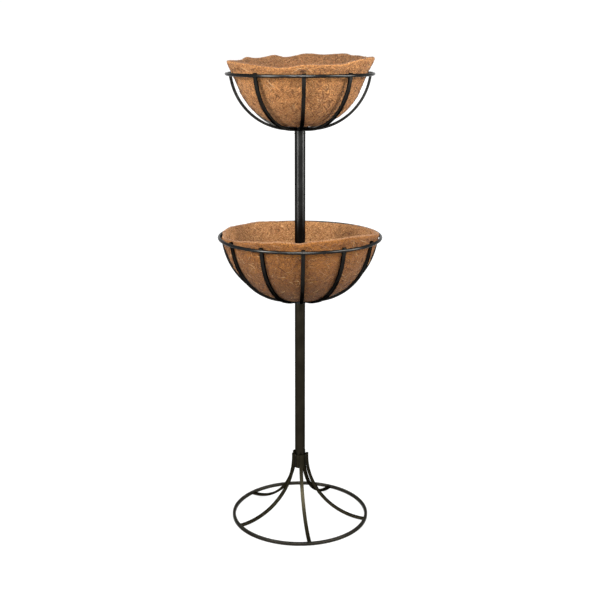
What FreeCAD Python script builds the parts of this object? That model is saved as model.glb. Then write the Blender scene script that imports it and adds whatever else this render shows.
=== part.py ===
import FreeCAD, Part
import Sketcher
import math
import os

# Two-tier metal plant stand.
# A ring base carries a post, the post carries a wide open bowl, and a second post carries a
# smaller one. Legs and ribs are flat bar, the base ring is square bar, and the bowls' rings
# are round rod. Each bowl holds a coir liner. All lengths are in millimetres and all angles
# in degrees. Z is up and the floor is at zero height.
# Azimuths run from the front (-Y) towards +X.

# Driving dimensions: name and value.
SIZES = [
    # Bars, tubes and fits
    ("bar_width", 9.5),
    ("bar_thickness", 6.5),
    ("bar_edge_round", 1.0),
    ("ring_diameter", 8.0),
    ("post_diameter", 27.0),
    ("post_wall", 1.5),
    ("slip_clearance", 0.1),
    ("sleeve_reach", 50.0),
    ("hub_drop", 9.0),
    ("hub_rise", 2.4),
    ("hub_collar_step", 1.5),
    ("rib_end_gap", 0.1),
    ("rib_top_rise", 1.5),
    ("rib_least_straight", 10.0),
    ("liner_clearance", 0.4),
    # Base
    ("base_ring_bore", 355.6),
    ("base_ring_width", 8.0),
    ("socket_underside", 141.0),
    ("socket_height", 38.0),
    ("socket_wall", 2.4),
    ("socket_stop_thickness", 3.0),
    ("leg_1_azimuth", 8.1),
    ("leg_2_azimuth", 77.0),
    ("leg_3_azimuth", 151.7),
    ("leg_4_azimuth", 228.8),
    ("leg_5_azimuth", 296.6),
    ("leg_top_rise", 3.0),
    ("leg_top_straight", 9.5),
    ("leg_foot_lift", 0.35),
    # Lower basket
    ("lower_ring_bore", 406.4),
    ("lower_ring_height", 780.0),
    ("lower_basket_depth", 165.7),
    ("lower_rib_count", 12),
    ("lower_rib_phase", 2.2),
    ("lower_rib_lean", 11.0),
    ("lower_rib_floor_run", 5.0),
    ("lower_liner_wall", 9.0),
    ("lower_liner_hole", 56.0),
    ("lower_rim_rise", 15.0),
    ("lower_rim_tilt", 12.0),
    ("lower_rim_high_side", 32.0),
    # Upper basket
    ("upper_ring_bore", 355.6),
    ("upper_ring_height", 1188.0),
    ("upper_basket_depth", 134.7),
    ("upper_rib_count", 9),
    ("upper_rib_phase", 3.0),
    ("upper_rib_lean", 11.0),
    ("upper_rib_floor_run", 10.4),
    ("upper_liner_wall", 9.0),
    ("upper_liner_gap", 5.65),
    ("upper_liner_inset", 5.5),
    ("upper_waist_gap", 11.8),
    ("upper_liner_flare", "26 deg"),
    ("upper_rim_rise", 33.5),
    ("upper_rim_tilt", 10.0),
    ("upper_rim_high_side", 158.0),
    # Both liners
    ("rim_round", 3.5),
    ("rim_blank", 12.0),
    ("cut_overrun", 20.0),
]

# Places worked out from the driving dimensions: name and formula.
PLACES = [
    ("bar_half", "sizes.bar_width / 2"),
    ("bar_half_flat", "bar_half - sizes.bar_edge_round"),
    ("bar_rise", "sizes.bar_thickness / 2"),
    ("bar_rise_flat", "bar_rise - sizes.bar_edge_round"),
    ("ring_rod", "sizes.ring_diameter / 2"),
    ("rib_stand", "ring_rod + sizes.rib_top_rise"),
    ("post_radius", "sizes.post_diameter / 2"),
    ("post_bore_radius", "post_radius - sizes.post_wall"),
    ("sleeve_radius", "post_bore_radius - sizes.slip_clearance"),
    ("sleeve_bore_radius", "sleeve_radius - sizes.post_wall"),
    # Base ring: it stands on the floor, and the legs reach its inner face
    ("base_ring_inner", "sizes.base_ring_bore / 2"),
    ("base_ring_half", "sizes.base_ring_width / 2"),
    ("base_ring_half_flat", "base_ring_half - sizes.bar_edge_round"),
    ("base_ring_radius", "base_ring_inner + base_ring_half"),
    # Socket tube and the disc that closes its underside
    ("socket_bore_radius", "post_radius + sizes.slip_clearance"),
    ("socket_radius", "socket_bore_radius + sizes.socket_wall"),
    ("socket_top", "sizes.socket_underside + sizes.socket_height"),
    ("lower_post_bottom", "sizes.socket_underside + sizes.socket_stop_thickness"),
    # Leg centre line: straight at the socket, then one wide bend down to the ring's inner face
    ("leg_top_radius", "socket_radius + bar_rise"),
    ("leg_top", "socket_top + sizes.leg_top_rise"),
    ("leg_bend_height", "leg_top - sizes.leg_top_straight"),
    ("leg_foot_height", "bar_rise + sizes.leg_foot_lift"),
    ("leg_reach", "base_ring_inner - leg_top_radius"),
    ("leg_drop", "leg_bend_height - leg_foot_height"),
    ("leg_turn", "2 * atan(leg_reach / leg_drop)"),
    ("leg_bend", "leg_drop / sin(leg_turn)"),
    ("leg_bend_centre", "leg_top_radius + leg_bend"),
    # Lower basket: hub, then rib centre line from the hub to the ring. The rib's outer face
    # touches the round rod of the ring. The bend is as wide as the run on the floor and the
    # least straight below the ring leave it
    ("lower_ring_radius", "sizes.lower_ring_bore / 2 + ring_rod"),
    ("lower_rib_floor", "sizes.lower_ring_height - sizes.lower_basket_depth"),
    ("lower_collar_radius", "max(post_radius + sizes.hub_collar_step;"
                            " bar_half / sin(180 / sizes.lower_rib_count) + sizes.rib_end_gap)"),
    ("lower_rib_end_radius", "lower_collar_radius - bar_half / 2"),
    ("lower_rib_top_radius", "lower_ring_radius - (ring_rod + bar_rise) / cos(sizes.lower_rib_lean)"
                             " + rib_stand * tan(sizes.lower_rib_lean)"),
    ("lower_rib_top", "sizes.lower_ring_height + rib_stand"),
    ("lower_rib_climb", "lower_rib_top - lower_rib_floor"),
    ("lower_rib_reach", "lower_rib_top_radius - lower_rib_end_radius"
                        " - sizes.lower_rib_floor_run - lower_rib_climb * tan(sizes.lower_rib_lean)"),
    ("lower_rib_bend", "min(lower_rib_reach * cos(sizes.lower_rib_lean);"
                       " lower_rib_climb - sizes.rib_least_straight * cos(sizes.lower_rib_lean))"
                       " / (1 - sin(sizes.lower_rib_lean))"),
    ("lower_bend_centre_height", "lower_rib_floor + lower_rib_bend"),
    ("lower_rib_straight", "(lower_rib_climb - lower_rib_bend * (1 - sin(sizes.lower_rib_lean)))"
                           " / cos(sizes.lower_rib_lean)"),
    ("lower_bend_centre", "lower_rib_top_radius - lower_rib_straight * sin(sizes.lower_rib_lean)"
                          " - lower_rib_bend * cos(sizes.lower_rib_lean)"),
    ("lower_hub_bottom", "lower_rib_floor - bar_rise - sizes.hub_drop"),
    ("lower_hub_top", "lower_rib_floor + bar_rise + sizes.hub_rise"),
    # Upper basket
    ("upper_ring_radius", "sizes.upper_ring_bore / 2 + ring_rod"),
    ("upper_rib_floor", "sizes.upper_ring_height - sizes.upper_basket_depth"),
    ("upper_collar_radius", "max(post_radius + sizes.hub_collar_step;"
                            " bar_half / sin(180 / sizes.upper_rib_count) + sizes.rib_end_gap)"),
    ("upper_rib_end_radius", "upper_collar_radius - bar_half / 2"),
    ("upper_rib_top_radius", "upper_ring_radius - (ring_rod + bar_rise) / cos(sizes.upper_rib_lean)"
                             " + rib_stand * tan(sizes.upper_rib_lean)"),
    ("upper_rib_top", "sizes.upper_ring_height + rib_stand"),
    ("upper_rib_climb", "upper_rib_top - upper_rib_floor"),
    ("upper_rib_reach", "upper_rib_top_radius - upper_rib_end_radius"
                        " - sizes.upper_rib_floor_run - upper_rib_climb * tan(sizes.upper_rib_lean)"),
    ("upper_rib_bend", "min(upper_rib_reach * cos(sizes.upper_rib_lean);"
                       " upper_rib_climb - sizes.rib_least_straight * cos(sizes.upper_rib_lean))"
                       " / (1 - sin(sizes.upper_rib_lean))"),
    ("upper_bend_centre_height", "upper_rib_floor + upper_rib_bend"),
    ("upper_rib_straight", "(upper_rib_climb - upper_rib_bend * (1 - sin(sizes.upper_rib_lean)))"
                           " / cos(sizes.upper_rib_lean)"),
    ("upper_bend_centre", "upper_rib_top_radius - upper_rib_straight * sin(sizes.upper_rib_lean)"
                          " - upper_rib_bend * cos(sizes.upper_rib_lean)"),
    ("upper_hub_bottom", "upper_rib_floor - bar_rise - sizes.hub_drop"),
    ("upper_hub_top", "upper_rib_floor + bar_rise + sizes.hub_rise"),
    # Lower liner: it follows the inside of the ribs
    ("lower_liner_bend", "lower_rib_bend - bar_rise - sizes.liner_clearance"),
    ("lower_liner_inner_bend", "lower_liner_bend - sizes.lower_liner_wall"),
    ("lower_rim_height", "sizes.lower_ring_height + sizes.lower_rim_rise"),
    ("lower_rim_blank_top", "lower_rim_height + sizes.lower_rim_tilt + sizes.rim_blank"),
    # Upper liner: it sits on the hub with its bend inside the bends of the ribs, leans out to its
    # waist just above the ring, and flares from there
    ("upper_liner_bend", "upper_rib_bend - bar_rise - sizes.upper_liner_gap"),
    ("upper_liner_inner_bend", "upper_liner_bend - sizes.upper_liner_wall"),
    ("upper_liner_bend_centre", "upper_bend_centre - sizes.upper_liner_inset"),
    ("upper_liner_bottom", "upper_hub_top + sizes.liner_clearance"),
    ("upper_liner_bend_height", "upper_liner_bottom + upper_liner_bend"),
    ("upper_waist_height", "sizes.upper_ring_height + sizes.ring_diameter"),
    ("upper_waist_radius", "upper_ring_radius - sizes.upper_waist_gap"),
    ("upper_waist_across", "upper_waist_radius - upper_liner_bend_centre"),
    ("upper_waist_up", "upper_waist_height - upper_liner_bend_height"),
    ("upper_liner_lean", "acos(upper_liner_bend / hypot(upper_waist_across; upper_waist_up))"
                         " - atan2(upper_waist_up; upper_waist_across)"),
    ("upper_liner_bend_end", "upper_liner_bend_centre + upper_liner_bend * cos(upper_liner_lean)"),
    ("upper_liner_bend_end_height", "upper_liner_bend_height"
                                    " - upper_liner_bend * sin(upper_liner_lean)"),
    ("upper_mean_lean", "(upper_liner_lean + sizes.upper_liner_flare) / 2"),
    ("upper_waist_offset", "sizes.upper_liner_wall"
                           " / cos((sizes.upper_liner_flare - upper_liner_lean) / 2)"),
    ("upper_rim_height", "sizes.upper_ring_height + sizes.upper_rim_rise"),
    ("upper_rim_blank_top", "upper_rim_height + sizes.upper_rim_tilt + sizes.rim_blank"),
    ("upper_rim_blank_radius", "upper_waist_radius + (upper_rim_blank_top - upper_waist_height)"
                               " * tan(sizes.upper_liner_flare)"),
]

FULL_TURN = 360
LEGS = range(1, 6)

doc = FreeCAD.newDocument("plant_stand")


def fill_sheet(name, rows, prefix):
    """One row per value: its name, the value with its alias."""
    sheet = doc.addObject("Spreadsheet::Sheet", name)
    for row, (alias, content) in enumerate(rows, 1):
        sheet.set(f"A{row}", alias)
        sheet.set(f"B{row}", prefix + str(content))
        sheet.setAlias(f"B{row}", alias)
    doc.recompute()
    return sheet


sizes = fill_sheet("sizes", SIZES, "")
places = fill_sheet("places", PLACES, "=")


def number(expression):
    """The present value of an expression in named sizes and places."""
    value = places.evalExpression(expression)
    return float(getattr(value, "Value", value))


def new_body(name):
    body = doc.addObject("PartDesign::Body", name)
    body.Label = name
    return body


def new_sketch(body, role, name, offset=None):
    """A sketch on one of the body's origin planes, moved by an offset expression."""
    plane = next(f for f in body.Origin.OriginFeatures if f.Role == role)
    sketch = body.newObject("Sketcher::SketchObject", f"{body.Name}_{name}")
    sketch.AttachmentSupport = [(plane, "")]
    sketch.MapMode = "FlatFace"
    if offset:
        sketch.setExpression("AttachmentOffset", offset)
    return sketch


def hold_point(sketch, geometry, end, point):
    """Fix a point of the sketch at two expressions; a zero holds it on that axis."""
    for kind, axis, expression in (("DistanceX", -2, point[0]), ("DistanceY", -1, point[1])):
        if expression == "0":
            sketch.addConstraint(Sketcher.Constraint("PointOnObject", geometry, end, axis))
            continue
        held = Sketcher.Constraint(kind, -1, 1, geometry, end, number(expression))
        sketch.setExpression(f"Constraints[{sketch.addConstraint(held)}]", expression)


def draw_chain(sketch, points, arcs, closed):
    """Lines through the points; arcs gives a segment's radius, its centre and its sense."""
    spots = [FreeCAD.Vector(number(x), number(y), 0) for x, y in points]
    last = len(points) if closed else len(points) - 1
    tails = []
    for k in range(last):
        start, end = spots[k], spots[(k + 1) % len(points)]
        if k in arcs:
            radius, centre, turns_left = arcs[k]
            middle = FreeCAD.Vector(number(centre[0]), number(centre[1]), 0)
            first, second = (start, end) if turns_left else (end, start)
            angles = [math.atan2(p.y - middle.y, p.x - middle.x) for p in (first, second)]
            if angles[1] <= angles[0]:
                angles[1] += 2 * math.pi
            circle = Part.Circle(middle, FreeCAD.Vector(0, 0, 1), number(radius))
            index = sketch.addGeometry(Part.ArcOfCircle(circle, *angles), False)
            held = Sketcher.Constraint("Radius", index, number(radius))
            sketch.setExpression(f"Constraints[{sketch.addConstraint(held)}]", radius)
            tails.append((index, 1, 2) if turns_left else (index, 2, 1))
        else:
            index = sketch.addGeometry(Part.LineSegment(start, end), False)
            tails.append((index, 1, 2))
    for k, (index, head, tail) in enumerate(tails):
        hold_point(sketch, index, head, points[k])
        if closed or k + 1 < last:
            after, after_head, _ = tails[(k + 1) % last]
            joint = Sketcher.Constraint("Coincident", index, tail, after, after_head)
            sketch.addConstraint(joint)
        else:
            hold_point(sketch, index, tail, points[k + 1])


def bar_section(centre, wide, tall):
    """A bar's section from its half sizes: its sides' ends, and the arcs that round its edges."""
    wide, tall = f"places.{wide}", f"places.{tall}"
    points, arcs = [], {}
    for k, (across, up) in enumerate((("+", "-"), ("+", "+"), ("-", "+"), ("-", "-"))):
        sides = [(f"{wide}_flat", tall), (wide, f"{tall}_flat")]
        points += [(f"{centre[0]} {across} {x}", f"{centre[1]} {up} {y}")
                   for x, y in (sides if across != up else sides[::-1])]
        arcs[2 * k] = ("sizes.bar_edge_round",
                       (f"{centre[0]} {across} {wide}_flat", f"{centre[1]} {up} {tall}_flat"), True)
    return points, arcs


def draw_circle(sketch, centre, radius):
    middle = FreeCAD.Vector(number(centre[0]), number(centre[1]), 0)
    circle = Part.Circle(middle, FreeCAD.Vector(0, 0, 1), number(radius))
    index = sketch.addGeometry(circle, False)
    hold_point(sketch, index, 3, centre)
    held = Sketcher.Constraint("Radius", index, number(radius))
    sketch.setExpression(f"Constraints[{sketch.addConstraint(held)}]", radius)


def turn(body, kind, name, sketch):
    """A full turn of a sketch about Z: a Revolution adds, a Groove cuts."""
    feature = body.newObject(f"PartDesign::{kind}", f"{body.Name}_{name}")
    feature.Profile = sketch
    feature.ReferenceAxis = (sketch, ["V_Axis"])
    feature.Angle = FULL_TURN
    body.Tip = feature
    return feature


def turned(name, points, arcs=None):
    """A piece turned about Z from a closed profile of radii and heights."""
    body = new_body(name)
    sketch = new_sketch(body, "XZ_Plane", "profile")
    draw_chain(sketch, points, arcs or {}, True)
    turn(body, "Revolution", "turned", sketch)
    return body


def tube(name, inner, outer, bottom, top):
    return turned(name, [(inner, bottom), (outer, bottom), (outer, top), (inner, top)])


def bar(name, path_points, arcs, profile_plane, profile_centre, halves, profile_offset):
    """A flat bar swept along a chain in the XZ plane, from its first point."""
    body = new_body(name)
    path = new_sketch(body, "XZ_Plane", "path")
    draw_chain(path, path_points, arcs, False)
    section = new_sketch(body, profile_plane, "section",
                         f"placement(vector(0; 0; {profile_offset}); rotation(vector(0; 0; 1); 0))")
    draw_chain(section, *bar_section(profile_centre, *halves), True)
    doc.recompute()
    sweep = body.newObject("PartDesign::AdditivePipe", f"{name}_sweep")
    sweep.Profile = section
    sweep.Spine = (path, [])
    body.Tip = sweep
    return body


def set_round(body, azimuth):
    """Turn a piece that was built along +X to its azimuth."""
    angle = f"{azimuth} - {FULL_TURN} / 4"
    body.setExpression("Placement", f"placement(vector(0; 0; 0); rotation(vector(0; 0; 1); {angle}))")


def basket_ring(tier):
    """A closed ring of round rod."""
    body = new_body(f"{tier}_ring")
    sketch = new_sketch(body, "XZ_Plane", "profile")
    draw_circle(sketch, (f"places.{tier}_ring_radius", f"sizes.{tier}_ring_height"), "places.ring_rod")
    turn(body, "Revolution", "turned", sketch)
    return body


def cope(body, name, inner, outer, middle):
    """Cut a bar away between two radii, over two bars' widths below and above a height."""
    sketch = new_sketch(body, "XZ_Plane", f"{name}_cope")
    reach = "sizes.bar_width + sizes.bar_width"
    below, above = f"{middle} - ({reach})", f"{middle} + {reach}"
    draw_chain(sketch, [(inner, below), (outer, below), (outer, above), (inner, above)], {}, True)
    turn(body, "Groove", f"{name}_coped", sketch)


def base_leg(k):
    """A leg from the side of the socket to the inside of the base ring, coped to the ring."""
    points = [
        ("places.leg_top_radius", "places.leg_top"),
        ("places.leg_top_radius", "places.leg_bend_height"),
        ("places.base_ring_inner", "places.leg_foot_height"),
        ("places.base_ring_inner + places.base_ring_half * sin(places.leg_turn)",
         "places.leg_foot_height - places.base_ring_half * cos(places.leg_turn)"),
    ]
    arcs = {1: ("places.leg_bend", ("places.leg_bend_centre", "places.leg_bend_height"), True)}
    body = bar(f"base_leg_{k}", points, arcs, "XY_Plane",
               ("places.leg_top_radius", "0"), ("bar_rise", "bar_half"), "places.leg_top")
    cope(body, "foot", "places.base_ring_inner", "places.base_ring_radius + sizes.bar_width",
         "places.leg_foot_height")
    set_round(body, f"sizes.leg_{k}_azimuth")
    return body


def basket_rib(tier, index):
    """A rib from the hub's collar along the bowl to the inside of the ring."""
    lean, bend = f"sizes.{tier}_rib_lean", f"places.{tier}_rib_bend"
    floor = f"places.{tier}_rib_floor"
    centre = (f"places.{tier}_bend_centre", f"places.{tier}_bend_centre_height")
    points = [
        (f"places.{tier}_rib_end_radius", floor),
        (centre[0], floor),
        (f"{centre[0]} + {bend} * cos({lean})", f"{centre[1]} - {bend} * sin({lean})"),
        (f"places.{tier}_rib_top_radius", f"places.{tier}_rib_top"),
    ]
    body = bar(f"{tier}_rib_{index + 1:02d}", points, {1: (bend, centre, True)}, "YZ_Plane",
               ("0", floor), ("bar_half", "bar_rise"), f"places.{tier}_rib_end_radius")
    cope(body, "hub", "0", f"places.{tier}_collar_radius", floor)
    seat = new_sketch(body, "XZ_Plane", "ring_seat")
    draw_circle(seat, (f"places.{tier}_ring_radius", f"sizes.{tier}_ring_height"), "places.ring_rod")
    turn(body, "Groove", "ring_seated", seat)
    set_round(body, f"sizes.{tier}_rib_phase + {index} * {FULL_TURN} / sizes.{tier}_rib_count")
    return body


def basket_hub(tier):
    """A short tube with a collar that the rib ends are welded to."""
    bore, wall, collar = "places.sleeve_radius", "places.post_radius", f"places.{tier}_collar_radius"
    bottom, top = f"places.{tier}_hub_bottom", f"places.{tier}_hub_top"
    collar_bottom = f"places.{tier}_rib_floor - places.bar_rise"
    collar_top = f"places.{tier}_rib_floor + places.bar_rise"
    return turned(f"{tier}_hub", [
        (bore, bottom), (wall, bottom), (wall, collar_bottom), (collar, collar_bottom),
        (collar, collar_top), (wall, collar_top), (wall, top), (bore, top),
    ])


def cut_rim(body, height, rise, high_side, rim_radius):
    """Cut a liner's blank on a tilted plane, then round both edges of its rim."""
    axis = f"vector(-cos({high_side}); -sin({high_side}); 0)"
    tilted = f"placement(vector(0; 0; {height}); rotation({axis}; atan({rise} / {rim_radius})))"
    plane = new_sketch(body, "XY_Plane", "rim_plane", tilted)
    draw_circle(plane, ("0", "0"), f"{rim_radius} + sizes.cut_overrun")
    doc.recompute()
    pocket = body.newObject("PartDesign::Pocket", f"{body.Name}_rim_cut")
    pocket.Profile = plane
    pocket.Reversed = True
    pocket.setExpression("Length", f"{rise} + {rise} + sizes.rim_blank + sizes.cut_overrun")
    body.Tip = pocket
    doc.recompute()
    lowest = number(f"{height} - {rise} - sizes.rim_round")
    rim_edges = [f"Edge{k}" for k, edge in enumerate(pocket.Shape.Edges, 1)
                 if edge.BoundBox.ZMin > lowest]
    fillet = body.newObject("PartDesign::Fillet", f"{body.Name}_rim_round")
    fillet.Base = (pocket, rim_edges)
    fillet.setExpression("Radius", "sizes.rim_round")
    body.Tip = fillet


def lower_liner():
    """A coir bowl that follows the ribs, with a hole for the hub and post in its floor."""
    lean, outer, inner = "sizes.lower_rib_lean", "places.lower_liner_bend", "places.lower_liner_inner_bend"
    across, up = "places.lower_bend_centre", "places.lower_bend_centre_height"
    top = "places.lower_rim_blank_top"
    points = [("0", f"{up} - {outer}"), (across, f"{up} - {outer}")]
    for bend in (outer, inner):
        bend_end = (f"{across} + {bend} * cos({lean})", f"{up} - {bend} * sin({lean})")
        rim = (f"{bend_end[0]} + ({top} - ({bend_end[1]})) * tan({lean})", top)
        points += [bend_end, rim] if bend == outer else [rim, bend_end]
    points += [(across, f"{up} - {inner}"), ("0", f"{up} - {inner}")]
    arcs = {1: (outer, (across, up), True), 5: (inner, (across, up), False)}
    body = turned("lower_liner", points, arcs)
    hole = new_sketch(body, "XZ_Plane", "hole")
    edge = "sizes.lower_liner_hole / 2"
    below, above = "places.lower_hub_bottom", "places.lower_hub_top + sizes.lower_liner_wall"
    draw_chain(hole, [("0", below), (edge, below), (edge, above), ("0", above)], {}, True)
    turn(body, "Groove", "hole_cut", hole)
    cut_rim(body, "places.lower_rim_height", "sizes.lower_rim_tilt", "sizes.lower_rim_high_side",
            "places.lower_ring_radius")
    return body


def upper_liner():
    """A coir bowl that is closed below, stands inside the ribs and flares above them."""
    lean, flare = "places.upper_liner_lean", "sizes.upper_liner_flare"
    outer, inner = "places.upper_liner_bend", "places.upper_liner_inner_bend"
    across, up = "places.upper_liner_bend_centre", "places.upper_liner_bend_height"
    top, waist_height = "places.upper_rim_blank_top", "places.upper_waist_height"
    waist, shift = "places.upper_waist_radius", "places.upper_waist_offset"
    inner_waist = (f"{waist} - {shift} * cos(places.upper_mean_lean)",
                   f"{waist_height} + {shift} * sin(places.upper_mean_lean)")
    points = [
        ("0", "places.upper_liner_bottom"),
        (across, "places.upper_liner_bottom"),
        ("places.upper_liner_bend_end", "places.upper_liner_bend_end_height"),
        (waist, waist_height),
        ("places.upper_rim_blank_radius", top),
        (f"places.upper_rim_blank_radius - sizes.upper_liner_wall / cos({flare})", top),
        inner_waist,
        (f"{across} + {inner} * cos({lean})", f"{up} - {inner} * sin({lean})"),
        (across, f"{up} - {inner}"),
        ("0", f"{up} - {inner}"),
    ]
    arcs = {1: (outer, (across, up), True), 7: (inner, (across, up), False)}
    body = turned("upper_liner", points, arcs)
    cut_rim(body, "places.upper_rim_height", "sizes.upper_rim_tilt", "sizes.upper_rim_high_side",
            "places.upper_rim_blank_radius")
    return body


def build_base():
    ring_centre = ("places.base_ring_radius", "places.base_ring_half")
    pieces = [turned("base_ring", *bar_section(ring_centre, "base_ring_half", "base_ring_half"))]
    pieces += [base_leg(k) for k in LEGS]
    pieces.append(tube("base_socket", "places.socket_bore_radius", "places.socket_radius",
                       "sizes.socket_underside", "places.socket_top"))
    pieces.append(tube("base_socket_stop", "0", "places.socket_bore_radius",
                       "sizes.socket_underside", "places.lower_post_bottom"))
    return pieces


def build_posts():
    bore, wall = "places.post_bore_radius", "places.post_radius"
    return [
        tube("lower_post", bore, wall, "places.lower_post_bottom", "places.lower_hub_bottom"),
        tube("upper_post", bore, wall, "places.lower_hub_top", "places.upper_hub_bottom"),
    ]


def build_basket(tier, sleeve_top):
    """Ring, ribs, hub and the sleeve that joins the posts inside the hub."""
    pieces = [basket_ring(tier)]
    pieces += [basket_rib(tier, k) for k in range(int(number(f"sizes.{tier}_rib_count")))]
    pieces.append(basket_hub(tier))
    pieces.append(tube(f"{tier}_sleeve", "places.sleeve_bore_radius", "places.sleeve_radius",
                       f"places.{tier}_hub_bottom - sizes.sleeve_reach", sleeve_top))
    return pieces


def main():
    pieces = build_base() + build_posts()
    pieces += build_basket("lower", "places.lower_hub_top + sizes.sleeve_reach")
    pieces += build_basket("upper", "places.upper_hub_top")
    pieces += [lower_liner(), upper_liner()]
    doc.recompute()

    for item in doc.Objects:
        if "Invalid" in item.State or "Error" in item.State:
            raise RuntimeError(f"{item.Name} failed: {item.State}")
    for piece in pieces:
        if piece.Shape.isNull() or not piece.Shape.isValid() or len(piece.Shape.Solids) != 1:
            raise RuntimeError(f"{piece.Label} is not one valid solid")

    os.makedirs("parts", exist_ok=True)
    for piece in pieces:
        piece.Shape.exportStep(f"parts/{piece.Label}.step")
        box = piece.Shape.BoundBox
        print(f"{piece.Label}: {piece.Shape.Volume:.0f} mm3, z {box.ZMin:.2f} to {box.ZMax:.2f}")


main()
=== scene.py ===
import math
import random
from bisect import bisect_right

import bpy
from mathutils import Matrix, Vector, noise


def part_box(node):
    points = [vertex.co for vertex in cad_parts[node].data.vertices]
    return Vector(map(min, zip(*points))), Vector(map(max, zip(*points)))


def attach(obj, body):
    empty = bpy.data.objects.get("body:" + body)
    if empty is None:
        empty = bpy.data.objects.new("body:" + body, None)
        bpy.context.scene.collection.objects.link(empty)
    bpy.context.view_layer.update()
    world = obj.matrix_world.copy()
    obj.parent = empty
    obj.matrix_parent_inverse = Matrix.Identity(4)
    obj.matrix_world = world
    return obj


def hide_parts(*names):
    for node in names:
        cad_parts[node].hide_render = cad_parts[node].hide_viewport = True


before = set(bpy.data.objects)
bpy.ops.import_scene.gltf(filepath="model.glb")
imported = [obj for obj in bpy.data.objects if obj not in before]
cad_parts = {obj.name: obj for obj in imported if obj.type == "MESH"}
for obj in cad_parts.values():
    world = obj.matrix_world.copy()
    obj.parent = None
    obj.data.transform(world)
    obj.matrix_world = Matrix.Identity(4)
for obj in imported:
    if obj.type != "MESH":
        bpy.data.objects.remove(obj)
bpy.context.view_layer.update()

MM = 0.001
TURN = 2 * math.pi

# Metal frame, in metres: the ribs and legs are flat bar, the bowls' rings are round rod, and the
# base ring is square bar. The ribs' ends stand a little above the rings.
BAR_WIDTH, BAR_THICK = 9.5 * MM, 6.5 * MM
RIB_RISE = 1.5 * MM
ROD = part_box("lower_ring")[1].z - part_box("lower_ring")[0].z
BASE_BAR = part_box("base_ring")[1].z
BASE_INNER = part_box("base_ring")[1].x - BASE_BAR
POST_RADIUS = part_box("lower_post")[1].x
SOCKET_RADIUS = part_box("base_socket")[1].x
SOCKET_BOTTOM, SOCKET_TOP = (corner.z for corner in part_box("base_socket"))
LEG_AZIMUTHS = (8.1, 77.0, 151.7, 228.8, 296.6)    # degrees from the front towards +X


class Bowl:
    """The sizes of one basket: its ring and hub from the frame, its ribs' bend from their lean.
    The phase of the first rib and the lean of the ribs' straight ends are in degrees."""

    def __init__(self, tier, ribs, phase, lean, floor_run):
        ring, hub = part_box(f"{tier}_ring"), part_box(f"{tier}_hub")
        self.tier, self.ribs, self.phase, self.lean = tier, ribs, phase, lean
        self.ring_z = (ring[0].z + ring[1].z) / 2
        self.ring_inner = ring[1].x - ROD
        self.collar, self.hub_z = hub[1].x, hub[0].z
        self.floor_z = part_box(f"{tier}_rib_01")[0].z + BAR_THICK / 2
        tilt = math.radians(lean)
        stand = ROD / 2 + RIB_RISE
        ring_radius = ring[1].x - ROD / 2
        top_radius = ring_radius - (ROD + BAR_THICK) / 2 / math.cos(tilt) + stand * math.tan(tilt)
        climb = self.ring_z + stand - self.floor_z
        reach = top_radius - (self.collar - BAR_WIDTH / 4) - floor_run - climb * math.tan(tilt)
        self.bend = reach * math.cos(tilt) / (1 - math.sin(tilt))
        straight = (climb - self.bend * (1 - math.sin(tilt))) / math.cos(tilt)
        self.bend_r = top_radius - straight * math.sin(tilt) - self.bend * math.cos(tilt)
        self.bend_z = self.floor_z + self.bend


LOWER = Bowl("lower", 12, 2.2, 11.0, 5.0 * MM)
UPPER = Bowl("upper", 9, 3.0, 11.0, 10.4 * MM)


def at_azimuth(azimuth, radius, z):
    """A point of the row frame; azimuth is in radians from the front towards +X."""
    return Vector((radius * math.sin(azimuth), -radius * math.cos(azimuth), z))


def smooth_step(low, high, value):
    """0 up to the low value, 1 from the high one, and a smooth climb between them."""
    t = min(1.0, max(0.0, (value - low) / (high - low)))
    return t * t * (3 - 2 * t)


def round_table(table, azimuth):
    """A smooth value from (degrees, value) pairs that go once round."""
    degrees = math.degrees(azimuth) % 360
    after = next((k for k, (spot, _) in enumerate(table) if spot > degrees), 0)
    spots = [table[(after + k) % len(table)] for k in (-2, -1, 0, 1)]
    start, end = spots[1][0], spots[2][0]
    t = ((degrees - start) % 360) / ((end - start) % 360)
    p0, p1, p2, p3 = (value for _, value in spots)
    return p1 + 0.5 * t * (p2 - p0 + t * (2 * p0 - 5 * p1 + 4 * p2 - p3 + t * (3 * (p1 - p2) + p3 - p0)))


# Materials

def times(factor, colour):
    return tuple(factor * c for c in colour)


class Nodes:
    """Short calls for building one node tree."""

    def __init__(self, owner, output="ShaderNodeOutputMaterial"):
        owner.use_nodes = True
        self.tree = owner.node_tree
        self.tree.nodes.clear()
        self.output = self.add(output)

    def put(self, socket, value):
        """Links the socket or sets it, and completes a colour that is given by three numbers."""
        if isinstance(value, bpy.types.NodeSocket):
            self.tree.links.new(value, socket)
        elif isinstance(value, tuple) and socket.type == "RGBA":
            socket.default_value = (*value, 1)
        else:
            socket.default_value = value

    def add(self, kind, values=(), **settings):
        """A node with these settings, and the values on its first sockets."""
        node = self.tree.nodes.new(kind)
        for key, value in settings.items():
            setattr(node, key, value)
        for socket, value in zip(node.inputs, values):
            self.put(socket, value)
        return node

    def named(self, kind, **values):
        """A node with values on the sockets of these names (blanks as _)."""
        node = self.add(kind)
        for key, value in values.items():
            self.put(node.inputs[key.replace("_", " ")], value)
        return node

    def math(self, operation, *values, clamp=False):
        return self.add("ShaderNodeMath", values, operation=operation, use_clamp=clamp).outputs[0]

    def vector(self, operation, *values):
        outputs = self.add("ShaderNodeVectorMath", values, operation=operation).outputs
        return outputs["Value" if operation in ("LENGTH", "DOT_PRODUCT") else "Vector"]

    def geometry(self, name):
        """The place or the normal of the surface, in the row frame."""
        return self.add("ShaderNodeNewGeometry").outputs[name]

    def finish(self, shader):
        self.put(self.output.inputs["Surface"], shader)


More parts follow.
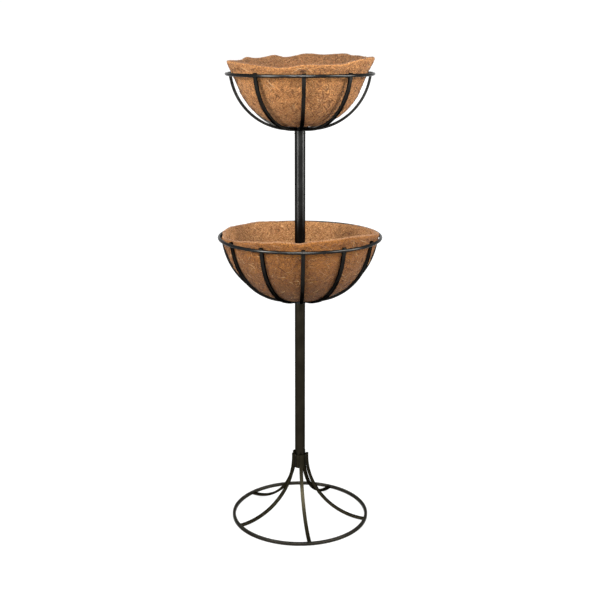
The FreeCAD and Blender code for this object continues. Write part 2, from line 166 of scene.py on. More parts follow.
class PieceNodes(Nodes):
    """The nodes of a material whose patterns stay with the piece. Their scales are per metre."""

    def __init__(self, name):
        self.material = bpy.data.materials.new(name)
        super().__init__(self.material)
        self.place = self.add("ShaderNodeTexCoord").outputs["Object"]

    def noise(self, scale, detail=3.0, rough=0.55, place=None, output="Fac", distortion=0.0):
        node = self.named("ShaderNodeTexNoise", Vector=place or self.place, Scale=scale, Detail=detail,
                          Roughness=rough, Distortion=distortion)
        return node.outputs[output]

    def cells(self, scale):
        """Distance from the middle of the nearest of many scattered cells."""
        return self.named("ShaderNodeTexVoronoi", Vector=self.place, Scale=scale).outputs["Distance"]

    def ramp(self, value, *stops):
        """Colours or greys at the stops' places, blended between them."""
        node = self.add("ShaderNodeValToRGB", (value,))
        points = node.color_ramp.elements
        while len(points) < len(stops):
            points.new(0.5)
        for point, (place, shade) in zip(points, stops):
            point.position = place
            point.color = (*shade, 1) if isinstance(shade, tuple) else (shade, shade, shade, 1)
        return node.outputs[0]

    def mix(self, share, first, second, blend="MIX"):
        node = self.add("ShaderNodeMix", data_type="RGBA", blend_type=blend)
        sockets = (node.inputs["Factor"], node.inputs[6], node.inputs[7])
        for socket, value in zip(sockets, (share, first, second)):
            self.put(socket, value)
        return node.outputs[2]

    def outward(self):
        """0 where the surface faces the bowl's axis, 1 where it faces away from it."""
        away = self.vector("NORMALIZE", self.vector("MULTIPLY", self.geometry("Position"), (1, 1, 0)))
        facing = self.vector("DOT_PRODUCT", self.geometry("Normal"), away)
        return self.math("MULTIPLY_ADD", facing, 0.5, 0.5)

    def upward(self):
        """1 where the surface faces up, 0 where it stands, less where it faces down."""
        return self.add("ShaderNodeSeparateXYZ", (self.geometry("Normal"),)).outputs["Z"]

    def climb(self, low, high):
        """0 at the low height of the piece, 1 at the high one."""
        height = self.add("ShaderNodeSeparateXYZ", (self.place,)).outputs["Z"]
        return self.math("DIVIDE", self.math("SUBTRACT", height, low), high - low, clamp=True)

    def turned(self, angles, stretch, place=None):
        """Coordinates turned by three angles and stretched along their first axis."""
        return self.named("ShaderNodeMapping", Vector=place or self.place, Rotation=angles,
                          Scale=(stretch, 1, 1)).outputs[0]

    def bump(self, height, distance, strength, before=None):
        """A normal for bumps of this height, laid over the ones before."""
        node = self.named("ShaderNodeBump", Height=height, Distance=distance, Strength=strength)
        if before:
            self.put(node.inputs["Normal"], before)
        return node.outputs[0]

    def surface(self, **values):
        """The finished material, with the shader's sockets by name (blanks as _)."""
        self.finish(self.named("ShaderNodeBsdfPrincipled", **values).outputs[0])
        return self.material


DUST = (0.055, 0.050, 0.042)


def painted_metal(name, dark, light, roughness, grain=1.0, edge=0.25):
    """Satin black paint on steel: uneven film, fine orange peel, rubbed and dusty patches. Grain
    scales the bumps, and the edge share is how bright faces seen at a low angle get."""
    n = PieceNodes(name)
    clouds = n.noise(26, 4)
    film = n.mix(n.ramp(clouds, (0.34, 0.0), (0.70, 1.0)), dark, light)
    rubbed = n.ramp(n.noise(95, 5, 0.7, distortion=0.6), (0.62, 0.0), (0.72, 1.0))
    film = n.mix(n.math("MULTIPLY", rubbed, 0.45), film, times(1.7, light))
    specks = n.ramp(n.cells(520), (0.05, 1.0), (0.16, 0.0))
    film = n.mix(n.math("MULTIPLY", specks, 0.35), film, DUST)
    rough = n.math("ADD", n.math("MULTIPLY", clouds, 0.20), roughness - 0.08)
    rough = n.math("ADD", rough, n.math("MULTIPLY", rubbed, 0.12), clamp=True)
    peel, runs = n.noise(900, 2), n.noise(150, 3, place=n.turned((0, 0, 0), 0.5))
    normal = n.bump(peel, 0.12 * MM * grain, 0.6)
    normal = n.bump(runs, 0.5 * MM * grain, 0.5, normal)
    return n.surface(Base_Color=film, Roughness=rough, Normal=normal, Metallic=1.0,
                     Specular_Tint=(edge, edge, edge))


RIB_BLACK = painted_metal("painted_rib", (0.013, 0.0125, 0.0115), (0.022, 0.021, 0.019), 0.32, edge=0.05)
RING_BLACK = painted_metal("painted_ring", (0.017, 0.0166, 0.0155), (0.027, 0.0262, 0.0245), 0.15, 0.5, 0.6)
# The base ring's paint is lighter than the legs' paint: painted light standing in for the ring's lit top
# face.
FLOOR_RING_LIT_BLACK = painted_metal("painted_floor_ring", (0.024, 0.022, 0.018), (0.036, 0.033, 0.026), 0.30,
                                 edge=0.5)
BASE_BLACK = painted_metal("painted_base", (0.015, 0.013, 0.008), (0.026, 0.0225, 0.014), 0.38, 1.3, 0.1)
TUBE_BLACK = painted_metal("painted_tube", (0.013, 0.013, 0.0125), (0.022, 0.0218, 0.021), 0.24, 0.6, 0.35)
LOW_TUBE_BLACK = painted_metal("painted_low_tube", (0.013, 0.0112, 0.0080), (0.021, 0.0180, 0.0125), 0.40)
WELD_BLACK = painted_metal("painted_weld", (0.014, 0.0135, 0.012), (0.032, 0.030, 0.026), 0.46, 2.5)
INNER_STEEL = painted_metal("plain_sleeve", (0.060, 0.060, 0.060), (0.120, 0.117, 0.112), 0.40)

# Tones of the felt, from its gaps to its top strands, and the directions that its strands lie in.
# The gap tone is painted shade between the strands.
DARK, MID = (0.100, 0.036, 0.011), (0.400, 0.174, 0.062)
PALE, TOP = (0.640, 0.322, 0.130), (0.860, 0.540, 0.270)
FELT_ANGLES = ((0.3, 0.2, 0.4), (1.2, 0.5, 2.1), (0.6, 1.9, 1.1), (2.2, 0.9, 0.2))
CURL = (16 * MM, 16 * MM, 16 * MM)
LIP_RISE = 8 * MM


def coir(bowl, inner, lip, outer, foot):
    """Pressed coconut fibre: short curling strands that cross each other over gaps in painted shade. The
    tints are painted light and shade inside the bowl, on the lip's top and outside, and the foot share is
    painted shade towards the bowl's floor."""
    n = PieceNodes(f"coir_{bowl.tier}")
    curled = n.vector("MULTIPLY_ADD", n.noise(70, 2, output="Color"), CURL, n.place)
    layers = []
    for k, angles in enumerate(FELT_ANGLES):
        streaks = n.noise(500 + 90 * k, 2, 0.6, place=n.turned(angles, 0.34, curled))
        layers.append(n.ramp(streaks, (0.45, 0.0), (0.57, 1.0)))
    pile = layers[0]
    for layer in layers[1:]:
        pile = n.math("ADD", pile, layer)
    pile = n.math("DIVIDE", pile, len(layers))
    clumps = n.noise(190, 3, 0.65, distortion=0.4)
    height = n.math("ADD", n.math("MULTIPLY", pile, 0.78), n.math("MULTIPLY", clumps, 0.44))
    # Darker where the felt lies low: painted shade in the gaps between the strands.
    body = n.ramp(height, (0.30, DARK), (0.52, MID), (0.78, PALE), (1.02, TOP))
    stains = n.noise(16, 3)
    body = n.mix(n.ramp(stains, (0.36, 0.0), (0.66, 0.35)), body, times(0.82, MID))
    flecks = n.noise(370, 1, 0.5, place=n.turned((0.7, 1.1, 0.5), 0.7, curled))
    body = n.mix(n.ramp(flecks, (0.38, 0.72), (0.47, 0.0)), body, times(0.42, MID))
    glints = n.noise(390, 1, 0.5, place=n.turned((1.6, 0.4, 1.3), 0.6, curled))
    body = n.mix(n.ramp(glints, (0.53, 0.0), (0.62, 0.62)), body, PALE)
    # Painted light and shade: the tints lighten or darken the felt inside the bowl, on the top of the lip and
    # outside.
    upward = n.upward()
    over_ring = n.climb(bowl.ring_z, bowl.ring_z + LIP_RISE)
    crest = n.math("MULTIPLY", over_ring, n.ramp(upward, (0.22, 0.0), (0.60, 1.0)))
    outside = n.math("MULTIPLY_ADD", upward, -0.5, n.outward(), clamp=True)
    painted_light_and_shade = n.mix(crest, n.ramp(outside, (0.35, inner), (0.65, outer)), lip)
    body = n.mix(1.0, body, painted_light_and_shade, "MULTIPLY")
    # Painted shade: the felt gets darker towards the bowl's floor.
    shade = n.ramp(n.climb(bowl.floor_z, bowl.ring_z), (0.0, foot), (1.0, 1.0))
    body = n.mix(1.0, body, shade, "MULTIPLY")
    hairs = n.noise(1500, 1, place=n.turned((0.9, 0.3, 1.4), 0.2, curled))
    normal = n.bump(height, 1.6 * MM, 0.85)
    normal = n.bump(hairs, 0.4 * MM, 0.5, normal)
    rough = n.ramp(height, (0.3, 0.98), (0.9, 0.80))
    return n.surface(Base_Color=body, Roughness=rough, Normal=normal, Specular_IOR_Level=0.20,
                     Sheen_Weight=0.10, Sheen_Roughness=0.5)


# Painted light and shade: the upper bowl's inside and both lips darker, the upper bowl's outside lighter, the
# lower bowl's outside and floor darker.
COIR = {"lower": coir(LOWER, inner=(1.02, 1.03, 0.96), lip=(0.72, 0.70, 0.66), outer=(0.71, 0.54, 0.21),
                      foot=0.35),
        "upper": coir(UPPER, inner=(0.41, 0.395, 0.36), lip=(0.56, 0.54, 0.52), outer=(1.14, 1.04, 0.80),
                      foot=0.86)}


def strand(name, colour):
    """One tone of loose fibre, lighter and darker along its length."""
    n = PieceNodes(name)
    along = n.noise(170, 3, 0.6)
    tone = n.mix(n.ramp(along, (0.30, 0.0), (0.70, 1.0)), times(0.72, colour), colour)
    return n.surface(Base_Color=tone, Roughness=n.ramp(along, (0.2, 0.9), (0.8, 0.62)),
                     Normal=n.bump(n.noise(1400, 2), 0.1 * MM, 0.5), Specular_IOR_Level=0.25)


STRAW, TAN, RUST, BROWN = range(4)
STRANDS = [strand("coir_straw", (0.700, 0.420, 0.190)), strand("coir_tan", (0.480, 0.228, 0.086)),
           strand("coir_rust", (0.330, 0.120, 0.038)), strand("coir_brown", (0.110, 0.042, 0.014))]


# Frame: the CAD pieces keep their shapes and get their paint

def frame_material(name):
    if name.endswith("_sleeve") or name == "base_socket_stop":
        return INNER_STEEL
    if name == "base_ring":
        return FLOOR_RING_LIT_BLACK
    if name.startswith("base_"):
        return BASE_BLACK
    if name.endswith("_ring"):
        return RING_BLACK
    if name == "lower_post":
        return LOW_TUBE_BLACK
    if name in ("upper_post", "upper_hub", "lower_hub"):
        return TUBE_BLACK
    return RIB_BLACK


for name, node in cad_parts.items():
    if not name.endswith("_liner"):
        node.data.materials.clear()
        node.data.materials.append(frame_material(name))


# Meshes

def new_piece(name, points, faces, materials, body, face_slots=None):
    """A smooth piece that rides on the body; face_slots says which material each face has."""
    mesh = bpy.data.meshes.new(name)
    mesh.from_pydata([tuple(p) for p in points], [], faces)
    for material in materials:
        mesh.materials.append(material)
    if face_slots:
        mesh.polygons.foreach_set("material_index", face_slots)
    mesh.polygons.foreach_set("use_smooth", [True] * len(mesh.polygons))
    mesh.update()
    piece = bpy.data.objects.new(name, mesh)
    bpy.context.scene.collection.objects.link(piece)
    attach(piece, body)
    return piece


def tube_along(path, radii, sides, points, faces, closed=False, start_angle=0.0):
    """Adds a tube round a path of points to the lists of points and faces."""
    first = len(points)
    n = len(path)
    up = Vector((0, 0, 1))
    for k, centre in enumerate(path):
        before = path[(k - 1) % n] if closed or k else path[0]
        after = path[(k + 1) % n] if closed or k < n - 1 else path[-1]
        along = (after - before).normalized()
        side = along.cross(up)
        if side.length < 0.2:
            side = along.cross(Vector((1, 0, 0)))
        side.normalize()
        other = along.cross(side)
        for j in range(sides):
            a = start_angle + TURN * j / sides
            points.append(centre + (side * math.cos(a) + other * math.sin(a)) * radii[k])
    for k in range(n if closed else n - 1):
        for j in range(sides):
            a, b = first + k * sides, first + (k + 1) % n * sides
            faces.append((a + j, a + (j + 1) % sides, b + (j + 1) % sides, b + j))
    if not closed:
        faces.append(tuple(first + j for j in reversed(range(sides))))
        faces.append(tuple(first + (n - 1) * sides + j for j in range(sides)))


# Weld beads: the share of its radius that a bead has at its ends, what each point adds to it, and
# the steps of its ripples and grit. Beads at the ribs' ends go by points a step apart, in mm.
BEAD_SIDES = 7
BEAD_END, BEAD_SWELL = 0.35, 0.9
RIPPLE_STEP, GRIT, GRIT_SCALE = 1.9, 0.28, 420
BEAD_STEP, SIDE_START, SIDE_POINTS, CAP_START, CAP_POINTS = 1.3, -2.4, 5, -3.9, 7
HUB_POINTS, SEAM_POINTS, LEG_POINTS = 60, 48, 22


def bead(path, radius, points, faces, seed, closed=False, ripple=0.16):
    """A weld bead: a rippled, uneven tube that narrows to its ends."""
    radii = []
    for k, p in enumerate(path):
        end = 1.0 if closed else min(1.0, BEAD_END + BEAD_SWELL * min(k, len(path) - 1 - k))
        grit = GRIT * noise.noise(p * GRIT_SCALE + Vector((seed, 0, 0)))
        radii.append(radius * end * (1 + ripple * math.sin(RIPPLE_STEP * k + seed) + grit))
    tube_along(path, radii, BEAD_SIDES, points, faces, closed)


def hoop(radius, z, count):
    """Points once round the stand's axis."""
    return [at_azimuth(TURN * j / count, radius, z) for j in range(count)]


def basket_welds(bowl):
    """Beads beside and over each rib's end at the ring, and round the hub's collar."""
    points, faces = [], []
    inner = bowl.ring_inner
    for k in range(bowl.ribs):
        azimuth = math.radians(bowl.phase + 360 * k / bowl.ribs)
        for side in (-1, 1):
            beside = azimuth + side * (BAR_WIDTH / 2 + 0.1 * MM) / inner
            path = [at_azimuth(beside, inner - 0.2 * MM, bowl.ring_z + (SIDE_START + BEAD_STEP * j) * MM)
                    for j in range(SIDE_POINTS)]
            bead(path, 1.25 * MM, points, faces, 3.1 * k + side)
        cap = [at_azimuth(azimuth + (CAP_START + BEAD_STEP * j) * MM / inner, inner + 0.5 * MM,
                          bowl.ring_z + ROD / 2 - 0.6 * MM) for j in range(CAP_POINTS)]
        bead(cap, 1.3 * MM, points, faces, 1.7 * k)
    for lift, radius in ((-BAR_THICK / 2, 1.0 * MM), (BAR_THICK / 2, 0.9 * MM)):
        path = hoop(bowl.collar + 0.2 * MM, bowl.floor_z + lift, HUB_POINTS)
        bead(path, radius, points, faces, 5.0 + lift, closed=True)
    new_piece(f"{bowl.tier}_basket_welds", points, faces, [WELD_BLACK], f"{bowl.tier}_basket")


def hub_seam(bowl):
    """The rough edge where the hub's tube meets the post below it."""
    points, faces = [], []
    path = hoop(POST_RADIUS + 0.1 * MM, bowl.hub_z + 1.2 * MM, SEAM_POINTS)
    bead(path, 0.8 * MM, points, faces, 2.0, closed=True, ripple=0.1)
    new_piece(f"{bowl.tier}_hub_seam", points, faces, [WELD_BLACK], f"{bowl.tier}_basket")


def base_welds():
    """Beads round the legs' feet at the ring, and up both sides of the legs at the socket."""
    points, faces = [], []
    half, top = BAR_WIDTH / 2 + 0.2 * MM, BAR_THICK + 0.3 * MM
    foot = [(-half, 1.4 * MM), (-half, 3.2 * MM), (-half, 5.2 * MM), (-0.6 * half, top), (0, top),
            (0.6 * half, top), (half, 5.2 * MM), (half, 3.2 * MM), (half, 1.4 * MM)]
    step = (SOCKET_TOP - SOCKET_BOTTOM - 4 * MM) / (LEG_POINTS - 1)
    for k, degrees in enumerate(LEG_AZIMUTHS):
        azimuth = math.radians(degrees)
        path = [at_azimuth(azimuth + across / BASE_INNER, BASE_INNER - 0.4 * MM, z) for across, z in foot]
        bead(path, 1.15 * MM, points, faces, 2.3 * k)
        for side in (-1, 1):
            beside = azimuth + side * 4.1 * MM / SOCKET_RADIUS
            path = [at_azimuth(beside, SOCKET_RADIUS + 0.55 * MM, SOCKET_BOTTOM + 3 * MM + j * step)
                    for j in range(LEG_POINTS)]
            bead(path, 1.25 * MM, points, faces, 4.1 * k + side)
    new_piece("base_welds", points, faces, [WELD_BLACK], "base")


for bowl in (LOWER, UPPER):
    basket_welds(bowl)
    hub_seam(bowl)
base_welds()


# Coir liners

OUTSIDE, INSIDE = 1.0, -1.0
RIM_START = 0.80        # share of the way up where the wall begins to turn into the rim
PRESS_TOP = 10 * MM     # height over the ring up to which the ribs press the felt
RIB_HOLD = 0.6          # share of an outward lean that a rib holds back
INNER_SHIFT = Vector((3, 1, 2))


class Liner:
    """A pressed coir bowl: an outer profile, a wall and a rim that is uneven round the bowl."""

    def __init__(self, profile, wall, rim_wall, rim_height, rim_lean, seed, bowl):
        self.profile = profile
        self.wall, self.rim_wall = wall, rim_wall
        self.rim_height, self.rim_lean = rim_height, rim_lean
        self.seed = Vector((seed, 2.7 * seed, -seed))
        self.bowl = bowl
        self.lengths = [0.0]
        for a, b in zip(profile, profile[1:]):
            self.lengths.append(self.lengths[-1] + math.dist(a, b))
        self.rims = {}

    def at_length(self, length):
        """Radius and height of the plain outer profile, and its outward normal."""
        k = min(max(bisect_right(self.lengths, length) - 1, 0), len(self.lengths) - 2)
        a, b = self.profile[k], self.profile[k + 1]
        t = (length - self.lengths[k]) / (self.lengths[k + 1] - self.lengths[k])
        along = (b[0] - a[0], b[1] - a[1])
        size = math.hypot(*along)
        return (a[0] + t * along[0], a[1] + t * along[1]), (along[1] / size, -along[0] / size)

    def length_at(self, z):
        """Length of the outer profile up to a height, by halving."""
        low, high = 0.0, self.lengths[-1]
        for _ in range(22):
            middle = (low + high) / 2
            if self.at_length(middle)[0][1] < z:
                low = middle
            else:
                high = middle
        return low

    def rim_length(self, azimuth):
        """Length of the outer profile up to the rim at this azimuth."""
        key = round(azimuth, 5)
        if key not in self.rims:
            self.rims[key] = self.length_at(round_table(self.rim_height, azimuth) * MM - 0.5 * self.rim_wall)
        return self.rims[key]

    def lumps(self, p, inner):
        """How far the felted surface stands from its plain shape."""
        q = p + self.seed + (INNER_SHIFT if inner else Vector((0, 0, 0)))
        broad, middle = noise.noise(q * 14), noise.noise(q * 48)
        fine = noise.fractal(q * 150, 0.7, 2.1, 3)
        return (1.1 * broad + 0.9 * middle + 0.55 * fine) * MM

    def rib_press(self, azimuth):
        """1 under a rib, 0 midway between two ribs."""
        spacing = TURN / self.bowl.ribs
        off = (azimuth - math.radians(self.bowl.phase)) % spacing
        return 1 - smooth_step(0.0, 0.32 * spacing, min(off, spacing - off))

    def point(self, azimuth, t, side, lift=0.0):
        """A point of the skin. t runs from the floor to the rim, and side from the outside to the
        inside, over the lip. The ribs hold the felt in and press grooves into it."""
        (r, z), (nr, nz) = self.at_length(self.rim_length(azimuth) * t)
        near_rim = smooth_step(RIM_START, 1.0, t)
        wall = self.wall + (self.rim_wall - self.wall) * near_rim
        sway = round_table(self.rim_lean, azimuth) * MM * near_rim
        if sway > 0:
            sway *= 1 - RIB_HOLD * self.rib_press(azimuth)
        turn = (1 - side) / 2 * math.pi
        out, over = math.cos(turn), math.sin(turn)
        dir_r, dir_z = nr * out - nz * over, nz * out + nr * over
        base_r = r - nr * wall / 2 + wall / 2 * dir_r + sway
        base_z = z - nz * wall / 2 + wall / 2 * dir_z
        bulge = self.lumps(at_azimuth(azimuth, base_r, base_z), side < 0)
        if side > 0.5 and base_z < self.bowl.ring_z + PRESS_TOP:
            press = self.rib_press(azimuth)
            bulge = min(bulge, 0.9 * MM) * (1 - 0.65 * press) - 1.0 * MM * press - 0.25 * MM
        step = bulge + lift
        return at_azimuth(azimuth, max(0.4 * MM, base_r + dir_r * step), base_z + dir_z * step)


def arc(across, up, radius, start, end, count=60):
    """Points of an arc in the radius-height plane; angles in degrees from straight down."""
    angles = [math.radians(start + (end - start) * k / count) for k in range(count + 1)]
    return [(across + radius * math.sin(a), up - radius * math.cos(a)) for a in angles]


def onward(points, lean, length):
    """Adds a straight run that leans outwards by so many degrees."""
    r, z = points[-1]
    a = math.radians(lean)
    points.append((r + length * math.sin(a), z + length * math.cos(a)))


LOWER_GAP, HOLE_RADIUS, LOWER_RUN = 0.4 * MM, 28 * MM, 90 * MM
UPPER_GAP, UPPER_INSET, WAIST_RADIUS = 5.65 * MM, 5.5 * MM, 170 * MM
FLOOR_RADIUS, FLARE, FLARE_RUN = 0.6 * MM, 26.0, 80 * MM


def lower_profile(bowl):
    """From the edge of the hole along the inside of the ribs and on above the ring."""
    bend = bowl.bend - BAR_THICK / 2 - LOWER_GAP
    hole_edge = math.degrees(math.asin((HOLE_RADIUS - bowl.bend_r) / bend))
    points = arc(bowl.bend_r, bowl.bend_z, bend, hole_edge, 90 - bowl.lean)
    onward(points, bowl.lean, LOWER_RUN)
    return points


def upper_profile(bowl):
    """A round bowl on the hub, a leaning side up to the waist, and a flare above it."""
    bend, bend_r = bowl.bend - BAR_THICK / 2 - UPPER_GAP, bowl.bend_r - UPPER_INSET
    bottom, waist_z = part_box("upper_liner")[0].z, bowl.ring_z + ROD
    bend_z = bottom + bend
    across, up = WAIST_RADIUS - bend_r, waist_z - bend_z
    lean = math.degrees(math.acos(bend / math.hypot(across, up)) - math.atan2(up, across))
    points = [(FLOOR_RADIUS, bottom)] + arc(bend_r, bend_z, bend, 0, 90 - lean)
    onward(points, lean, (waist_z - points[-1][1]) / math.cos(math.radians(lean)))
    onward(points, FLARE, FLARE_RUN)
    return points


# The rims' heights and outward leans, in mm, at azimuths in degrees
LOWER_RIM = [(1, 800.5), (6, 805), (11, 806), (22, 807.5), (30, 808), (38, 809), (57, 804), (80, 795),
             (100, 789), (125, 785.5), (150, 783.5), (170, 783.5), (185, 784), (195, 785), (203, 787),
             (211, 789), (219, 789), (230, 788.5), (240, 790), (248, 791), (258, 789), (270, 787), (281, 786),
             (299, 789), (310, 792), (325, 797), (334, 799), (344, 803), (353, 802.5)]
LOWER_LEAN = [(0, 0.5), (45, 1.5), (70, 5.0), (90, 6.0), (110, 4.0), (140, 1.0), (180, 0.5), (225, 1.5),
              (250, 4.0), (270, 6.0), (290, 5.0), (320, 1.5)]
UPPER_RIM = [(2, 1212.6), (9, 1214), (16, 1213), (24, 1213), (35, 1213.4), (42, 1218.7), (50, 1224),
             (67, 1228), (90, 1225.4), (109, 1225.7), (123, 1228.7), (133, 1229), (139, 1233), (145, 1233.5),
             (159, 1230), (172, 1232.6), (178, 1231.8), (185, 1226.2), (193, 1223.5), (202, 1229.4),
             (211, 1224.5), (222, 1222.3), (230, 1224.7), (238, 1217.6), (254, 1217.3), (270, 1218.5),
             (293, 1219.7), (303, 1216.8), (312, 1215), (324, 1211.5), (332, 1209), (340, 1207), (346, 1206),
             (352, 1207.5), (357, 1209.7)]
UPPER_LEAN = [(0, 0.0), (45, 0.5), (75, 0.5), (90, 0.5), (105, 0.0), (150, 0.0), (210, 0.0), (250, 0.0),
              (270, 0.5), (290, 0.0), (330, -0.5)]

LOWER_LINER = Liner(lower_profile(LOWER), 9.0 * MM, 9.6 * MM, LOWER_RIM, LOWER_LEAN, 1.3, LOWER)
UPPER_LINER = Liner(upper_profile(UPPER), 9.0 * MM, 7.0 * MM, UPPER_RIM, UPPER_LEAN, 4.9, UPPER)

# How many faces a liner has round the bowl, up each side and over the lip
AROUND, UP, OVER = 380, 96, 10


def liner_mesh(liner, name, body, closed_floor):
    """The liner's skin, outside, over the lip and inside, as one closed mesh."""
    stations = [(k / UP, OUTSIDE) for k in range(UP + 1)]
    stations += [(1.0, OUTSIDE - 2.0 * k / OVER) for k in range(1, OVER)]
    stations += [(1 - k / UP, INSIDE) for k in range(UP + 1)]
    points, faces = [], []
    for j in range(AROUND):
        azimuth = TURN * j / AROUND
        points += [liner.point(azimuth, t, side) for t, side in stations]
    n = len(stations)
    for j in range(AROUND):
        a, b = j * n, (j + 1) % AROUND * n
        for k in range(n - 1):
            faces.append((a + k, b + k, b + k + 1, a + k + 1))
        if not closed_floor:
            faces.append((a + n - 1, b + n - 1, b, a))
    if closed_floor:
        faces.append(tuple(j * n for j in reversed(range(AROUND))))
        faces.append(tuple(j * n + n - 1 for j in range(AROUND)))
    return new_piece(name, points, faces, [COIR[liner.bowl.tier]], body)


# Loose strands: how many, how many of them outside, how far up the felt they reach, their radii in
# mm, and the shares of the tones
FIBRES, QUICK_FIBRES = 4600, 1500
OUTSIDE_SHARE = 0.52
LOWEST, HIGHEST = 0.06, 0.992
STRAND_RADII = (0.30, 0.38, 0.46, 0.58, 0.75)
STRAND_SHARES = {OUTSIDE: (0.10, 0.30, 0.28, 0.32), INSIDE: (0.02, 0.16, 0.40, 0.42)}
STRAND_SIDES, LAID_SIDES, LAID_POINTS = 3, 5, 9


def wandering_strand(liner, rng):
    """A strand that starts anywhere on the felt and curls across it: path, radii and side."""
    side = OUTSIDE if rng.random() < OUTSIDE_SHARE else INSIDE
    azimuth, t = rng.uniform(0, TURN), math.sqrt(rng.uniform(0.02, 0.985))
    heading, curl = rng.uniform(0, TURN), rng.gauss(0, 0.30)
    steps, pace = rng.randint(4, 8), rng.uniform(2.2, 4.6) * MM
    thick = rng.choice(STRAND_RADII) * MM
    lift = rng.uniform(0.0, 0.5) * MM
    path, radii = [], []
    for k in range(steps):
        arch = math.sin(math.pi * k / (steps - 1))
        path.append(liner.point(azimuth, t, side, lift * arch + (arch - 0.6) * 0.5 * thick))
        radii.append(thick * (0.35 + 0.65 * arch))
        radius = max(20 * MM, math.hypot(path[-1].x, path[-1].y))
        azimuth += pace * math.cos(heading) / radius
        t += pace * math.sin(heading) / liner.rim_length(azimuth)
        heading += curl + rng.gauss(0, 0.25)
        if not LOWEST < t < HIGHEST:
            break
    return path, radii, side


def laid_strand(liner, start, end, thick, sag):
    """A strand on the outside between two spots, each an azimuth in degrees and a height in mm."""
    path, radii = [], []
    for k in range(LAID_POINTS):
        share = k / (LAID_POINTS - 1)
        arch = math.sin(math.pi * share)
        azimuth = math.radians(start[0] + (end[0] - start[0]) * share)
        z = (start[1] + (end[1] - start[1]) * share - sag * arch) * MM
        t = min(0.995, liner.length_at(z) / liner.rim_length(azimuth))
        path.append(liner.point(azimuth, t, OUTSIDE, 0.5 * thick))
        radii.append(thick * (0.45 + 0.55 * arch))
    return path, radii


def loose_fibres(liner, name, body, seed, laid):
    """Single strands that lie curled on the felt, and the listed ones."""
    rng = random.Random(seed)
    points, faces, tones = [], [], []
    for _ in range(FIBRES):
        path, radii, side = wandering_strand(liner, rng)
        if len(path) < 3:
            continue
        before = len(faces)
        tube_along(path, radii, STRAND_SIDES, points, faces, start_angle=rng.uniform(0, 2))
        tones += [rng.choices(range(len(STRANDS)), STRAND_SHARES[side])[0]] * (len(faces) - before)
    for tone, start, end, thick, sag in laid:
        before = len(faces)
        tube_along(*laid_strand(liner, start, end, thick * MM, sag), LAID_SIDES, points, faces)
        tones += [tone] * (len(faces) - before)
    new_piece(name, points, faces, STRANDS, body, tones)


# Strands laid one by one: tone, start and end (azimuth in degrees, height in mm), radius and sag in mm
UPPER_LAID = [(STRAW, (-6.5, 1195), (1.5, 1208), 0.9, 0.5), (STRAW, (-3.0, 1208), (6.0, 1194), 0.85, -0.8),
              # The three thick brown strands on this line and the next are painted shade: dark strands laid
              # in a shaded fold of the felt under the front of the rim.
              (STRAW, (4.5, 1209), (10.0, 1194), 0.7, 0.6), (BROWN, (-1.2, 1205), (3.2, 1199), 1.5, 0.0),
              (BROWN, (0.4, 1202), (5.2, 1200), 1.5, 0.4), (BROWN, (0.2, 1199), (3.6, 1195), 1.4, 0.0),
              (STRAW, (-29.0, 1180), (-22.0, 1160), 1.0, 2.0),
              (STRAW, (-31.0, 1168), (-25.5, 1150), 0.8, -2.0),
              (STRAW, (-52.0, 1206), (-44.0, 1196), 0.9, 1.0), (TAN, (22.0, 1207), (31.0, 1198), 0.9, -1.0)]
LOWER_LAID = [(TAN, (-21.0, 798), (-12.0, 790), 0.8, 1.0), (TAN, (12.0, 800), (19.0, 791), 0.7, 1.0),
              (TAN, (14.0, 735), (22.0, 716), 0.7, 3.0), (BROWN, (-16.0, 741), (-11.0, 728), 0.9, 2.0),
              (STRAW, (47.0, 797), (55.0, 788), 0.8, 1.0), (TAN, (-38.0, 792), (-30.0, 786), 0.8, 1.0)]


def build_liner(liner, closed_floor, seed, laid):
    tier = liner.bowl.tier
    body = f"{tier}_liner"
    mat = liner_mesh(liner, f"{tier}_coir_mat", body, closed_floor)
    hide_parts(body)
    loose_fibres(liner, f"{tier}_coir_fibres", body, seed, laid)


build_liner(LOWER_LINER, False, 11, LOWER_LAID)
build_liner(UPPER_LINER, True, 23, UPPER_LAID)


# Floor, world, lights and camera

WHITE = (1, 1, 1)
FLOOR_REACH = 60.0
FLOOR_COLOUR, FLOOR_WHITE = (0.60, 0.60, 0.59), 1.30
NEAR, FAR, NEAR_SHARE, FAR_SHARE = 0.6, 2.6, 0.62, 0.86    # metres from the stand, shares of white
WORLD_COLOUR, WORLD_DIM, WORLD_WHITE = (1.0, 0.99, 0.97), 0.34, 1.03


def backdrop(nodes, dim, white, share):
    """A share of white where it is seen or mirrored; the dim shader lights the object."""
    ray = nodes.add("ShaderNodeLightPath").outputs
    seen = nodes.math("MAXIMUM", ray["Is Camera Ray"], ray["Is Glossy Ray"])
    seen = nodes.math("MAXIMUM", seen, ray["Is Transmission Ray"])
    amount = nodes.math("MULTIPLY", seen, share)
    nodes.finish(nodes.add("ShaderNodeMixShader", (amount, dim.outputs[0], white.outputs[0])).outputs[0])


def make_floor():
    """A matt floor that keeps the stand's shadow, and grows whiter away from it."""
    corners = [(x * FLOOR_REACH, y * FLOOR_REACH, 0) for x, y in ((-1, -1), (1, -1), (1, 1), (-1, 1))]
    mesh = bpy.data.meshes.new("floor")
    mesh.from_pydata(corners, [], [(0, 1, 2, 3)])
    floor = bpy.data.objects.new("floor", mesh)
    bpy.context.scene.collection.objects.link(floor)
    material = bpy.data.materials.new("pale_floor")
    nodes = Nodes(material)
    away = nodes.vector("LENGTH", nodes.geometry("Position"))
    share = nodes.named("ShaderNodeMapRange", Value=away, From_Min=NEAR, From_Max=FAR, To_Min=NEAR_SHARE,
                        To_Max=FAR_SHARE)
    matt = nodes.named("ShaderNodeBsdfDiffuse", Color=FLOOR_COLOUR)
    white = nodes.named("ShaderNodeEmission", Color=WHITE, Strength=FLOOR_WHITE)
    backdrop(nodes, matt, white, share.outputs[0])
    mesh.materials.append(material)


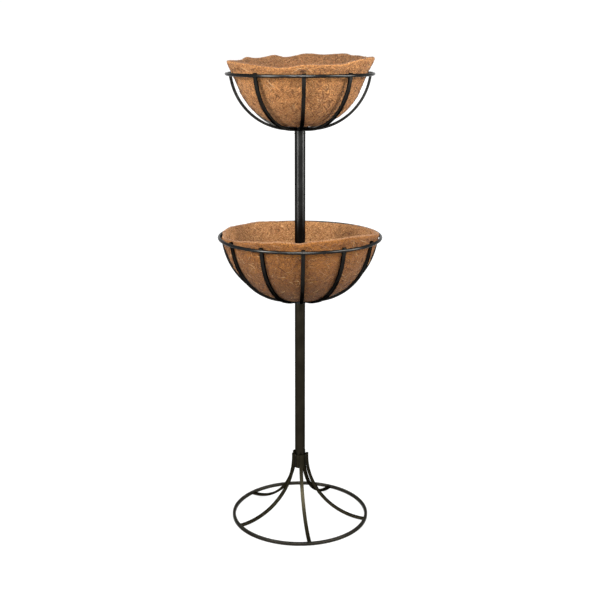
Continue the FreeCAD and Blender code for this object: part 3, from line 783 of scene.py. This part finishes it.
def make_world():
    world = bpy.data.worlds.new("studio")
    bpy.context.scene.world = world
    nodes = Nodes(world, "ShaderNodeOutputWorld")
    dim = nodes.named("ShaderNodeBackground", Color=WORLD_COLOUR, Strength=WORLD_DIM)
    white = nodes.named("ShaderNodeBackground", Color=WHITE, Strength=WORLD_WHITE)
    backdrop(nodes, dim, white, 1.0)


def area_light(name, place, target, width, height, power, colour=WHITE, tone=True, shine=True):
    """A soft lamp that can leave out the surfaces' tone or their shine."""
    data = bpy.data.lights.new(name, "AREA")
    data.shape, data.size, data.size_y = "RECTANGLE", width, height
    data.energy, data.color = power, colour
    lamp = bpy.data.objects.new(name, data)
    lamp.location = place
    lamp.rotation_euler = (Vector(target) - Vector(place)).to_track_quat("-Z", "Y").to_euler()
    lamp.visible_diffuse, lamp.visible_glossy = tone, shine
    bpy.context.scene.collection.objects.link(lamp)


make_floor()
make_world()
area_light("left", (-1.30, -1.35, 1.75), (0, 0, 1.10), 0.9, 0.9, 42, (1.0, 0.985, 0.96))
area_light("right", (1.45, -0.95, 1.70), (0, 0, 1.10), 0.8, 0.9, 35)
area_light("top", (0.0, -1.1, 2.6), (0, 0, 0.8), 1.2, 1.2, 24)
area_light("back", (0.4, 1.9, 1.7), (0, 0, 1.0), 1.2, 1.2, 30, shine=False)
area_light("sheen_front", (0.0, -2.5, 2.05), (0, 0, 1.10), 1.8, 0.26, 150, tone=False)
area_light("sheen_left", (-1.15, -1.02, 1.05), (0, 0, 1.05), 0.45, 0.9, 20, tone=False)
area_light("sheen_right", (1.50, -0.43, 1.05), (0, 0, 1.05), 0.45, 0.9, 20, tone=False)

# The camera's place in metres, its pitch down in radians, and its focal length from the photograph
CAMERA_PLACE, CAMERA_DOWN = (0, -2.486, 1.268), 0.2585
FOCAL_PIXELS, IMAGE_PIXELS, SENSOR, CLIP_END = 983.0, 600.0, 36.0, 200.0
camera = bpy.data.objects.new("camera", bpy.data.cameras.new("camera"))
bpy.context.scene.collection.objects.link(camera)
camera.data.sensor_width = SENSOR
camera.data.lens = FOCAL_PIXELS / IMAGE_PIXELS * SENSOR
camera.data.clip_end = CLIP_END
camera.location = CAMERA_PLACE
camera.rotation_euler = (math.pi / 2 - CAMERA_DOWN, 0, 0)
bpy.context.scene.camera = camera
bpy.context.scene.view_settings.view_transform = "Standard"
